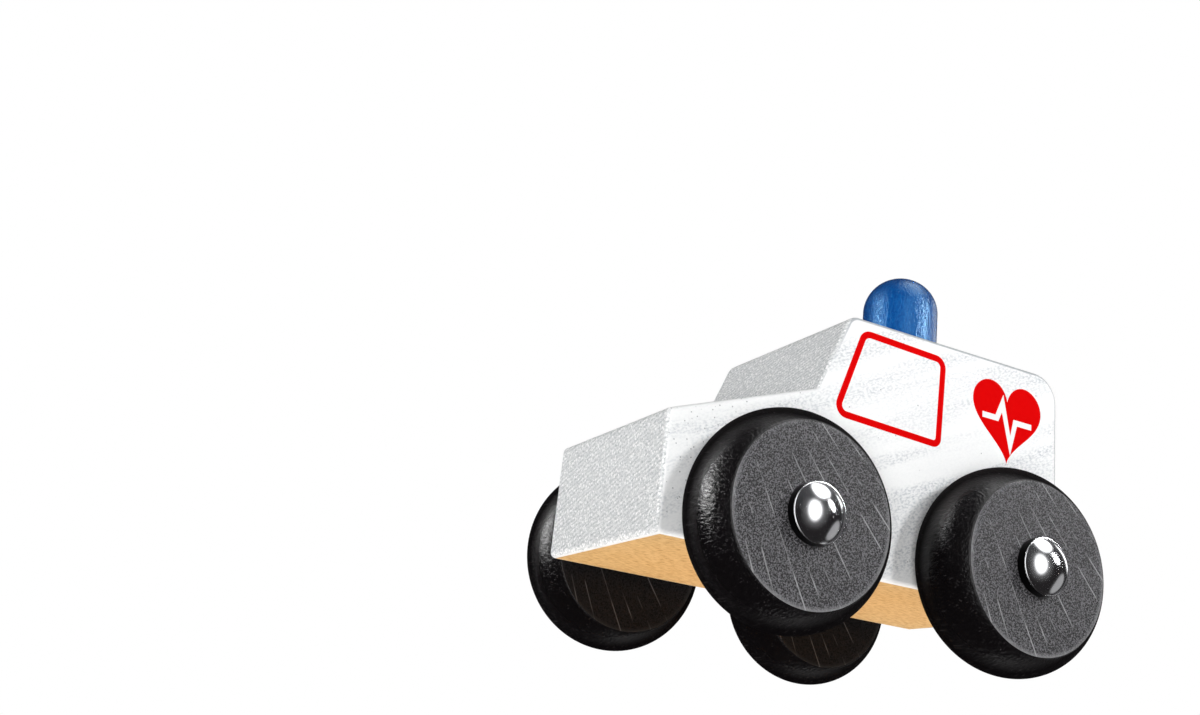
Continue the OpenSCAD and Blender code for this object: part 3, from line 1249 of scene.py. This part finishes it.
@dataclass(frozen=True)
class Panel:
    """An oval white panel on the drapes with soft edges, which only reflections see.

    Its width and height are measured on the drapes, its turn is in degrees, its glow is 1 where
    a mirror shows plain white, and its core is the share of its reach that glows in full.
    """

    toward: Size
    width: float
    height: float
    glow: float
    turn: float = 0.0
    core: float = 0.5

    def add_to(self, tree: Tree, here: Socket, radius: float, total: Node | float) -> Node:
        """Adds the panel's glow to that of the panels before it.

        Args:
            tree: The drapes' nodes.
            here: Coordinates on the drapes, from their middle.
            radius: Radius of the drapes, in millimetres.
            total: Glow of the panels before this one.

        Returns:
            The glow with this panel.
        """
        ray = Vector(self.toward).normalized()
        facing = ray.to_track_quat("Z", "Y") @ Quaternion((0, 0, 1), math.radians(self.turn))
        place = add(
            tree, "Mapping",
            {
                "Vector": here, "Location": ray * radius * MM, "Rotation": facing.to_euler(),
                "Scale": Vector((self.width / 2, self.height / 2, radius)) * MM,
            },
            vector_type="TEXTURE",
        )
        reach = add(tree, "VectorMath", {0: place}, operation="LENGTH")
        fade = Ramp(self.core, 1.0, self.glow, 0.0)
        mask = add(tree, "MapRange", fade.inputs(reach), interpolation_type="SMOOTHSTEP")
        return add(tree, "Math", {0: mask, 1: total}, operation="ADD")


@dataclass
class Studio:
    """Camera, pale floor, white background, soft lamps and dark drapes with white panels.

    The drapes close round the set and only reflections see them: they keep black stain black,
    give chrome its dark sides and put a highlight on what is polished.
    """

    camera_place: Size = (153.6, 220.5, -28.75)
    camera_aim: Size = (51.43, 0.0, 52.07)
    camera_roll: float = 7.0
    camera_near: float = 10.0
    lens: float = 38.91
    sensor: float = 36.0
    toy_middle: Size = (0.0, 0.0, 40.0)
    ambient: float = 0.14
    backdrop_colour: str = "#FFFFFF"
    floor_size: float = 3000.0
    floor_colour: str = "#E9E9E9"
    floor_roughness: float = 0.8
    drape_radius: float = 1400.0
    drape_fineness: int = 4
    drape_foot: str = "#2A2829"
    drape_head: str = "#525254"
    lamps: tuple[Softbox, ...] = (
        Softbox("key_softbox", (0.02, 0.97, 0.18), 140, 0.39),
        Softbox("fill_softbox", (0.56, 0.78, -0.25), 300, 0.56),
        Softbox("front_softbox", (0.86, -0.45, 0.22), 400, 0.37),
        Softbox("under_softbox", (0.05, -0.15, -0.98), 700, 0.76),
        Softbox("back_softbox", (-0.55, -0.7, 0.45), 600, 0.6),
    )
    panels: tuple[Panel, ...] = (
        # Left side, with a halo round it, and overhead
        Panel((0.22, 0.96, 0.12), 1150, 1750, 2.5, core=0.55),
        Panel((0.2, 0.96, 0.05), 2200, 2700, 0.25, core=0.2),
        Panel((-0.31, 0.29, 0.91), 1600, 1070, 3.0, turn=23, core=0.7),
        # Ahead of the nose, low and high, and on the far side
        Panel((0.93, -0.22, 0.25), 340, 950, 42.0, turn=42, core=0.3),
        Panel((0.75, -0.25, 0.6), 260, 400, 15.0),
        Panel((0.4, -0.7, 0.59), 240, 600, 1.0),
        # Behind the tail: a low one and a bright strip
        Panel((-0.89, 0.27, -0.38), 950, 1100, 0.45, core=0.8),
        Panel((-0.63, 0.62, 0.42), 240, 700, 44.0, turn=15),
        # Above the roof, on the far side of the tail, and below it
        Panel((0.5, -0.3, 0.8), 450, 450, 2.0),
        Panel((-0.92, -0.16, 0.37), 500, 900, 3.0),
        Panel((-0.6, -0.3, -0.74), 1000, 800, 1.2),
    )

    def camera(self) -> None:
        """Places the camera as the photograph was taken, low and rolled a little."""
        place, aim = Vector(self.camera_place), Vector(self.camera_aim)
        lens = bpy.data.cameras.new("photo_camera")
        lens.lens = self.lens
        lens.sensor_width = self.sensor
        lens.clip_start = self.camera_near * MM
        made = bpy.data.objects.new("photo_camera", lens)
        made.location = place * MM
        made.rotation_mode = "QUATERNION"
        level = (place - aim).to_track_quat("Z", "Y")
        made.rotation_quaternion = level @ Quaternion((0, 0, 1), math.radians(self.camera_roll))
        bpy.context.scene.collection.objects.link(made)
        bpy.context.scene.camera = made

    def floor(self) -> None:
        """Makes the pale floor, which can be seen through from below."""
        shape = bmesh.new()
        bmesh.ops.create_grid(shape, x_segments=1, y_segments=1, size=self.floor_size / 2)
        paint = bpy.data.materials.new("matt_pale_grey_paint")
        paint.use_nodes = True
        tree = paint.node_tree
        shader = tree.nodes["Principled BSDF"]
        feed(tree, shader, {"Base Color": self.floor_colour, "Roughness": self.floor_roughness})
        clear = add(tree, "BsdfTransparent")
        below = add(tree, "NewGeometry").outputs["Backfacing"]
        shadow = add(tree, "LightPath").outputs["Is Shadow Ray"]
        through = add(tree, "Math", {0: below, 1: shadow}, operation="MAXIMUM")
        seen = add(tree, "MixShader", {0: through, 1: shader, 2: clear})
        feed(tree, tree.nodes["Material Output"], {"Surface": seen})
        made = piece("studio_floor", shape, Vector(), [paint])
        made.visible_glossy = False

    def drapes(self) -> None:
        """Hangs the dark drapes, which only reflections see."""
        cloth = bpy.data.materials.new("matt_black_drape")
        cloth.use_nodes = True
        cloth.cycles.emission_sampling = "NONE"
        tree = cloth.node_tree
        here = add(tree, "TexCoord").outputs["Object"]
        height = add(tree, "SeparateXYZ", {0: here}).outputs["Z"]
        rise = add(tree, "MapRange", Ramp(0.0, self.drape_radius).inputs(height, MM))
        shade = add(
            tree, "Mix",
            {FACTOR: rise, UNDER: self.drape_foot, OVER: self.drape_head}, data_type="RGBA",
        )
        dark = add(tree, "Emission", {"Color": shade})
        total = 0.0
        for panel in self.panels:
            total = panel.add_to(tree, here, self.drape_radius, total)
        white = add(tree, "Emission", {"Strength": total})
        glow = add(tree, "AddShader", {0: dark, 1: white})
        feed(tree, tree.nodes["Material Output"], {"Surface": glow})
        shape = bmesh.new()
        bmesh.ops.create_icosphere(
            shape, subdivisions=self.drape_fineness, radius=self.drape_radius,
        )
        made = piece("studio_drapes", shape, Vector(self.toy_middle), [cloth])
        made.visible_camera = False
        made.visible_diffuse = False
        made.visible_transmission = False
        made.visible_shadow = False

    def background(self) -> None:
        """Makes the white background, which lights the toy at the ambient level."""
        world = bpy.data.worlds.new("white_studio")
        world.use_nodes = True
        bpy.context.scene.world = world
        tree = world.node_tree
        paths = add(tree, "LightPath").outputs
        sharp = add(
            tree, "Math",
            {0: paths["Is Glossy Ray"], 1: paths["Is Transmission Ray"]}, operation="MAXIMUM",
        )
        shown = add(tree, "Math", {0: paths["Is Camera Ray"], 1: sharp}, operation="MAXIMUM")
        strength = add(tree, "MapRange", {"Value": shown, "To Min": self.ambient})
        backdrop = tree.nodes["Background"]
        feed(tree, backdrop, {"Color": self.backdrop_colour, "Strength": strength})

    def build(self) -> None:
        """Sets up the whole studio."""
        bpy.context.scene.view_settings.view_transform = "Standard"
        self.camera()
        self.floor()
        self.drapes()
        self.background()
        for lamp in self.lamps:
            lamp.build(Vector(self.toy_middle))


def main() -> None:
    """Builds the studio and the toy, piece by piece."""
    logging.basicConfig(level=logging.INFO, format="%(name)s: %(message)s")
    Studio().build()
    block = Block()
    block.build()
    SidePrints(block).build()
    Beacon().build()
    for end in End:
        AxleSet(end).build()


if __name__ == "__main__":
    main()
